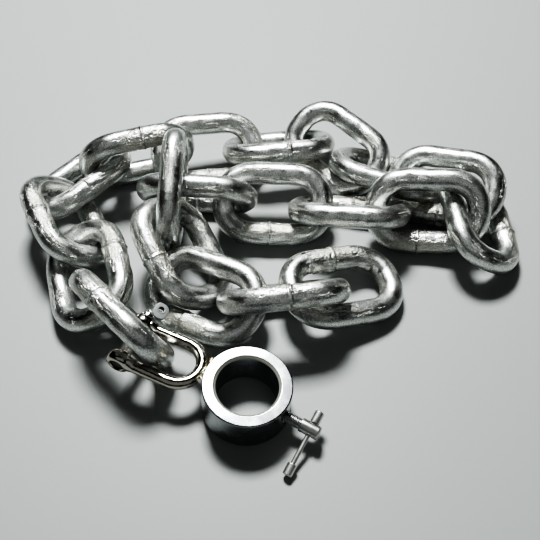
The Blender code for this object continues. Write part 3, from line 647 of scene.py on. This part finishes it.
across = math.cos(from_up) * screw_axes[1] + math.sin(from_up) * screw_axes[2]
tommy_axes = np.array([screw_axes[0], across, down])
mouth = countersunk(TOMMY_ROD / 2 + GAP, head, CROSS_LIP, CROSS_INSIDE, CROSS_OUTSIDE, CROSS_REACH)
cross_hole = turned("cross_hole", both_ends(mouth), tommy_axes, tommy_origin, sides=CROSS_SIDES)
join(screw, [cross_hole], "DIFFERENCE", sharp=50)
print("screw", len(screw.data.polygons), "faces")

# %% The tommy bar
CAP_EDGE, CAP_NECK_EDGE, TOMMY_SIDES, TOMMY_ROUNDING = 0.0007, 0.0004, 48, 0.0003
top = -head - GAP - CAP_LENGTH
end = top + TOMMY_LENGTH
upper, lower = top + CAP_LENGTH, end - CAP_LENGTH
tommy_profile = [(CORE, top), (CAP / 2 - CAP_EDGE, top), (CAP / 2, top + CAP_EDGE),
                 (CAP / 2, upper - CAP_NECK_EDGE), (CAP / 2 - CAP_NECK_EDGE, upper), (TOMMY_ROD / 2, upper),
                 (TOMMY_ROD / 2, lower), (CAP / 2 - CAP_NECK_EDGE, lower), (CAP / 2, lower + CAP_NECK_EDGE),
                 (CAP / 2, end - CAP_EDGE), (CAP / 2 - CAP_EDGE, end), (CORE, end)]
tommy = turned("tommy_bar_turned", tommy_profile, tommy_axes, tommy_origin, sides=TOMMY_SIDES,
               rounding=TOMMY_ROUNDING, sharp=50)
keep_flats_flat(tommy)
print("tommy bar", len(tommy.data.polygons), "faces")

# %% [markdown]
# ## Shader maths
#
# A finish is a material with one Principled shader. A small class wraps a socket, so that sums written in
# Python add the Math nodes, and one method makes any other node.


# %% Wrapping sockets
class Value:
    """A socket of a material. Sums of values and numbers add Math nodes."""

    def __init__(self, finish, socket):
        self.finish, self.socket = finish, socket

    def math(self, operation, one, other):
        return self.finish.node("ShaderNodeMath", {0: one, 1: other}, operation=operation)

    def __add__(self, other):
        return self.math("ADD", self, other)

    def __sub__(self, other):
        return self.math("SUBTRACT", self, other)

    def __rsub__(self, other):
        return self.math("SUBTRACT", other, self)

    def __mul__(self, other):
        return self.math("MULTIPLY", self, other)

    __radd__, __rmul__ = __add__, __mul__


print("sums of sockets add Math nodes")


# %% A finish and its nodes
class Finish:
    """A material with one Principled shader, and the nodes that feed it."""

    def __init__(self, name, **fixed):
        self.material = bpy.data.materials.new(name)
        self.material.use_nodes = True
        self.tree = self.material.node_tree
        self.shader = self.tree.nodes["Principled BSDF"]
        for socket, value in fixed.items():
            self.shader.inputs[socket.replace("_", " ")].default_value = value

    def node(self, kind, inputs=None, out=0, **settings):
        """Adds a node: its settings, then values or links for its sockets. Returns one of its outputs."""
        made = self.tree.nodes.new(kind)
        for setting, value in settings.items():
            setattr(made, setting, value)
        for socket, value in (inputs or {}).items():
            if isinstance(value, Value):
                self.tree.links.new(value.socket, made.inputs[socket])
            else:
                made.inputs[socket].default_value = value
        return Value(self, made.outputs[out])

    def attribute(self, name):
        """A value stored on the mesh."""
        return self.node("ShaderNodeAttribute", out="Vector", attribute_name=name)

    def stretched(self, where, factors, shift=(0, 0, 0)):
        """where times factors, plus shift."""
        inputs = {0: where, 1: factors, 2: shift}
        return self.node("ShaderNodeVectorMath", inputs, operation="MULTIPLY_ADD")

    def noise(self, where, scale, detail, roughness):
        """Soft noise of about 0.5, with that many blobs in a metre and finer ones added."""
        inputs = {"Vector": where, "Scale": scale, "Detail": detail, "Roughness": roughness}
        return self.node("ShaderNodeTexNoise", inputs)

    def step(self, value, start, end):
        """0 below start, 1 above end, smooth between."""
        inputs = {"Value": value, "From Min": start, "From Max": end}
        return self.node("ShaderNodeMapRange", inputs, interpolation_type="SMOOTHSTEP")

    def mix(self, share, one, other):
        """Colour one where share is 0 and the other where it is 1."""
        one, other = ((*c, 1) if isinstance(c, tuple) else c for c in (one, other))
        return self.node("ShaderNodeMix", {0: share, 6: one, 7: other}, out=2, data_type="RGBA")

    def near(self, place, balls):
        """1 inside the balls, each given as a middle and a reach, and 0 outside, fading over a tenth."""
        inside = 0
        for middle, reach in balls:
            inputs = {0: place, 1: tuple(middle)}
            apart = self.node("ShaderNodeVectorMath", inputs, out="Value", operation="DISTANCE")
            inside += 1 - self.step(apart, 0.9 * reach, reach)
        return inside

    def bump(self, height, distance):
        """Normal of a surface that rises by distance in metres where height is 1."""
        return self.node("ShaderNodeBump", {"Height": height, "Distance": distance})

    def feed(self, **sources):
        """Links values to the shader's sockets and returns the material."""
        for socket, value in sources.items():
            self.tree.links.new(value.socket, self.shader.inputs[socket.replace("_", " ")])
        return self.material


print("finishes ready")

# %% [markdown]
# ## Finishes
#
# The chain is plated with bright zinc, which is cloudy, streaked along the drawn bar, scuffed by the
# welder's jaws and by its neighbours, and holds grime in its pits and beside its welds. The patterns follow
# each bar, in the attribute "bar": the distance along it, and its cross-section.


# %% Zinc plate
DARK_ZINC, BRIGHT_ZINC, STREAKED = (0.42, 0.43, 0.41), (0.90, 0.91, 0.90), (0.50, 0.48, 0.42)
SCUFFED, GRIMY = (0.66, 0.635, 0.55), (0.14, 0.13, 0.11)


def zinc_plate():
    """Bright zinc: a satin body under a glossy skin, with wear from the attribute "wear": strips scuffed by
    the jaws in x, the weld's seam in y and the insides of the bends in z."""
    made = Finish("zinc plate", Coat_Roughness=0.10, Coat_IOR=1.6)
    bar, wear = made.attribute("bar"), made.attribute("wear")
    parts = {axis: made.node("ShaderNodeSeparateXYZ", {0: wear}, out=axis) for axis in "XYZ"}
    cloud = made.noise(bar, 95, 3, 0.55)
    streak = made.noise(made.stretched(bar, (0.06, 1, 1)), 1000, 3, 0.6)
    peel = made.noise(bar, 560, 2, 0.5)
    grain = made.noise(bar, 950, 3, 0.65)
    pits = made.step(made.noise(made.stretched(bar, (0.7, 1, 1), (3, 1, 2)), 420, 2, 0.5), 0.71, 0.75)
    broken = made.noise(made.stretched(bar, (0.5, 1, 1), (7, 5, 3)), 230, 3, 0.6)
    scuffed = made.step(parts["X"] * 0.55 + broken * 0.9, 0.60, 0.80)
    lanes = made.noise(made.stretched(bar, (0.22, 1, 1), (1, 8, 3)), 150, 3, 0.6)
    stray = made.step(lanes + grain * 0.3, 0.74, 0.80)
    rough_skin = made.node("ShaderNodeMath", {0: scuffed, 1: stray}, operation="MAXIMUM")
    speck = rough_skin * made.step(grain + peel * 0.6, 0.74, 0.90)
    held = parts["Y"] * 0.30 + pits * 0.8 + parts["Z"] * 0.10 + speck * 0.62 + grain * 0.4
    grime = made.step(held, 0.70, 0.98)
    colour = made.mix(made.step(cloud * 0.4 + grain * 1.3, 0.64, 1.06), DARK_ZINC, BRIGHT_ZINC)
    colour = made.mix(made.step(streak, 0.54, 0.70) * 0.45, colour, STREAKED)
    colour = made.mix(rough_skin * 0.5, colour, SCUFFED)
    colour = made.mix(grime * 0.75, colour, GRIMY)
    roughness = 0.23 + 0.12 * made.step(cloud, 0.35, 0.65) + 0.10 * streak + 0.06 * rough_skin + 0.15 * grime
    relief = (cloud * 0.03 + peel * (0.060 + 0.62 * rough_skin) + streak * 0.070
              + grain * (0.150 + 0.34 * rough_skin) - pits * 0.16)
    return made.feed(Base_Color=colour, Roughness=roughness, Metallic=1 - grime * 0.4,
                     Coat_Weight=0.5 - 0.35 * rough_skin, Normal=made.bump(relief, 0.001))


zinc = zinc_plate()
for link in links:
    link.data.materials.append(zinc)
print("zinc plate has", len(zinc.node_tree.nodes), "nodes")

# %% [markdown]
# The shackle and its pin are polished until they mirror the room, with faint smears. Painted shade blackens
# the
# dish in the pin's plain end and the hole of its tab, and the tab is satin. The weld is left as it cooled:
# bright, rippled and a little straw-coloured by the heat.


# %% Polished steel and weld metal
# The second colour is near-black painted shade for the pin's end dish and the tab's hole.
DUST, PAINTED_SHADE, SATIN = (0.25, 0.24, 0.22), (0.03, 0.03, 0.03), (0.40, 0.42, 0.42)
PALE_WELD, STRAW_WELD, SOOT = (0.80, 0.78, 0.72), (0.80, 0.72, 0.48), (0.16, 0.13, 0.10)


def polished_steel(name, colour, roughness, wave, painted_shade_balls=(), satin=()):
    """Mirror-bright steel with soft smears and a slightly uneven polish, with near-black painted shade and a
    satin skin in the balls given for each as a middle and a reach."""
    made = Finish(name)
    place = made.node("ShaderNodeTexCoord", out="Object")
    smear = made.noise(place, 150, 4, 0.6)
    fine = made.noise(place, 1400, 3, 0.6)
    base = made.mix(made.step(smear, 0.3, 0.75), colour, tuple(min(1, c * 1.12) for c in colour))
    dust = made.step(fine + smear * 0.5, 0.82, 1.0)
    base = made.mix(dust * 0.5, base, DUST)
    dull, painted_shade_mask = made.near(place, satin), made.near(place, painted_shade_balls)
    base = made.mix(dull, base, SATIN)
    # Painted shade: near-black in the pin's end dish and in the tab's hole.
    base = made.mix(painted_shade_mask * 0.9, base, PAINTED_SHADE)
    rough = roughness + 0.09 * made.step(smear, 0.4, 0.8) + 0.15 * dust + 0.25 * painted_shade_mask + 0.34 * dull
    return made.feed(Base_Color=base, Roughness=rough, Metallic=1 - 0.3 * dust - 0.6 * painted_shade_mask - 0.3 * dull,
                     Normal=made.bump(smear + fine * 0.04, wave))


def weld_metal():
    """Bright metal with a lumpy skin, patches of straw colour and spots of soot."""
    made = Finish("weld metal")
    place = made.node("ShaderNodeTexCoord", out="Object")
    lumps = made.noise(place, 330, 3, 0.5)
    heat = made.step(made.noise(place, 120, 2, 0.5), 0.4, 0.6)
    soot = made.step(made.noise(place, 700, 4, 0.6), 0.55, 0.7)
    colour = made.mix(heat, PALE_WELD, STRAW_WELD)
    colour = made.mix(soot * 0.7, colour, SOOT)
    return made.feed(Base_Color=colour, Roughness=0.16 + 0.3 * soot, Metallic=1 - 0.4 * soot,
                     Normal=made.bump(lumps, 0.0009))


# Balls of near-black painted shade: the dish in the pin's end and the hole of the tab.
painted_shade_balls = [(pin_middle + (face - PIN_RECESS) * pin_axes[2], PIN_END_PAINTED_SHADE), (tab_middle, TAB_HOLE_PAINTED_SHADE)]
bow_steel = polished_steel("polished shackle", colour=(0.50, 0.475, 0.43), roughness=0.09, wave=0.0004)
pin_steel = polished_steel("polished pin", colour=(0.64, 0.63, 0.61), roughness=0.14, wave=0.0003,
                           painted_shade_balls=painted_shade_balls, satin=[(tab_middle, TAB_SATIN)])
weld_steel = weld_metal()
print("polished pin has", len(pin_steel.node_tree.nodes), "nodes")

# %% [markdown]
# A lathe leaves fine grooves round the axis. On the collar's end faces they are circles, and on its wall
# lines round it, so one pattern serves: noise that depends only on the distance from the axis and on the
# height. The screw and the tommy bar have the same pattern round their own axes. The chamfer at the top of
# the collar's bore is a duller cut.


# %% Turned steel
CHAMFER_CUT, MARKS = (0.46, 0.455, 0.41), (0.30, 0.29, 0.27)


def turned_steel(name, origin, axes, colour, roughness, groove, dirt, chamfer=None):
    """Steel with grooves round the third axis through origin. A chamfer, given as a radius and a height, is
    duller inside that radius and above that height."""
    made = Finish(name)
    place = made.node("ShaderNodeTexCoord", out="Object")
    away = made.node("ShaderNodeVectorMath", {0: place, 1: tuple(origin)}, operation="SUBTRACT")
    inputs = {0: away, 1: tuple(axes[2])}
    height = made.node("ShaderNodeVectorMath", inputs, out="Value", operation="DOT_PRODUCT")
    beside = made.node("ShaderNodeVectorMath", inputs, operation="CROSS_PRODUCT")
    radius = made.node("ShaderNodeVectorMath", {0: beside}, out="Value", operation="LENGTH")
    section = made.node("ShaderNodeCombineXYZ", {0: radius, 1: height})
    rings, broad = made.noise(section, 5200, 3, 0.6), made.noise(section, 900, 2, 0.5)
    cloud = made.noise(place, 75, 4, 0.6)
    marks = made.step(made.noise(place, 420, 5, 0.7) + cloud * 0.4, 0.82, 0.95)
    base = made.mix(made.step(cloud, 0.35, 0.7), colour, tuple(min(1, c * 1.15) for c in colour))
    base = made.mix(marks * dirt, base, MARKS)
    dull = 0
    if chamfer:
        within, above = chamfer
        dull = made.step(height, above - 0.0001, above)
        dull = dull * (1 - made.step(radius, within - 0.0002, within - 0.0001))
    base = made.mix(dull, base, CHAMFER_CUT)
    rough = roughness + 0.08 * made.step(cloud, 0.35, 0.7) + 0.08 * rings + 0.14 * marks + 0.30 * dull
    return made.feed(Base_Color=base, Roughness=rough, Metallic=1 - 0.3 * dirt * marks - 0.6 * dull,
                     Normal=made.bump(rings * 0.6 + broad * 0.3 - marks * 0.3, groove))


top_chamfer = (bore + BORE_CHAMFER, COLLAR_HEIGHT - BORE_CHAMFER)
collar_steel = turned_steel("turned collar", COLLAR_FOOT, collar_axes, colour=(0.34, 0.35, 0.365),
                            roughness=0.15, groove=0.000013, dirt=0.8, chamfer=top_chamfer)
screw_steel = turned_steel("satin screw", screw_origin, screw_round, colour=(0.50, 0.50, 0.49),
                           roughness=0.27, groove=0.00002, dirt=0.5)
tommy_steel = turned_steel("satin tommy bar", tommy_origin, tommy_axes, colour=(0.66, 0.66, 0.63),
                           roughness=0.32, groove=0.00002, dirt=0.5)
print("finishes", [material.name for material in bpy.data.materials])

# %% [markdown]
# ## Riding on the bodies
#
# Each piece takes the place of its CAD node and moves with that node's body: the tommy bar slides in the
# screw, and the screw turns in the collar.

# %% Ride and replace
fittings = {
    "shackle_bow": (bow, bow_steel, "heap", "shackle_steel"),
    "shackle_pin": (pin, pin_steel, "heap", "pin_steel"),
    "bow_weld": (weld, weld_steel, "heap", "weld_metal"),
    "collar": (collar, collar_steel, "heap", "collar_steel"),
    "clamp_screw": (screw, screw_steel, "screw", "screw_steel"),
    "tommy_bar": (tommy, tommy_steel, "bar", "tommy_steel"),
}
for name, link in zip(LINKS, links):
    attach(link, "heap")
    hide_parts(name)
for node, (piece, finish, body, slot) in fittings.items():
    piece.data.materials.clear()
    piece.data.materials.append(finish)
    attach(piece, body)
    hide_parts(node)
    corners = np.array([vertex.co for vertex in piece.data.vertices])
    off = np.abs(np.array([corners.min(0), corners.max(0)]) - np.array(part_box(node))).max()
    print(node, "differs from its CAD box by", round(off * 1000, 2), "mm")

# %% [markdown]
# ## Floor and light
#
# The floor is plain and pale with a faint sheen. The key light is a soft box above and behind the heap, so
# that shadows fall towards the camera and the bars' tops shine. A wide dim halo softens the edge of that
# shine, and a card in front lights the near sides. The rest of the room is dark, and the look is of very
# high contrast, as in the photograph.

# %% Floor
FLOOR_REACH, FLOOR_COLOUR, FLOOR_ROUGHNESS = 4.0, (0.40, 0.415, 0.41, 1), 0.55
corners = [(FLOOR_REACH * x, FLOOR_REACH * y, -GAP) for x, y in ((-1, -1), (1, -1), (1, 1), (-1, 1))]
floor_mesh = bpy.data.meshes.new("floor")
floor_mesh.from_pydata(corners, [], [(0, 1, 2, 3)])
floor = bpy.data.objects.new("floor", floor_mesh)
scene.collection.objects.link(floor)
floor_paint = Finish("floor", Base_Color=FLOOR_COLOUR, Roughness=FLOOR_ROUGHNESS)
floor.data.materials.append(floor_paint.material)
print("floor", 2 * FLOOR_REACH, "m wide, its top at", -GAP)

# %% Lights and room
LIGHT_COLOUR, AIMED_AT = (0.965, 1, 0.98), (0, 0.01, 0)
ROOM_COLOUR, ROOM_STRENGTH = (0.9, 0.95, 1, 1), 0.006


def soft_box(name, place, size, power):
    """An oblong area light of that size and power in watts, facing the heap."""
    lamp = bpy.data.lights.new(name, "AREA")
    lamp.shape = "RECTANGLE"
    lamp.size, lamp.size_y = size
    lamp.energy, lamp.color = power, LIGHT_COLOUR
    light = bpy.data.objects.new(name, lamp)
    light.location = place
    light.rotation_mode = "QUATERNION"
    light.rotation_quaternion = Vector(np.subtract(AIMED_AT, place)).to_track_quat("-Z", "Y")
    scene.collection.objects.link(light)


soft_box("key", (-0.15, 0.92, 1.63), (0.46, 0.40), 47)
soft_box("halo", (-0.1, 1.10, 2.05), (2.4, 1.9), 2.6)
soft_box("card", (0.0, -1.25, 1.30), (2.8, 1.7), 3.4)
world = bpy.data.worlds.new("room")
scene.world = world
world.use_nodes = True
background = world.node_tree.nodes["Background"]
background.inputs["Color"].default_value = ROOM_COLOUR
background.inputs["Strength"].default_value = ROOM_STRENGTH
scene.view_settings.view_transform = "AgX"
scene.view_settings.look = "AgX - Very High Contrast"
print("lights", [light.name for light in bpy.data.lights])
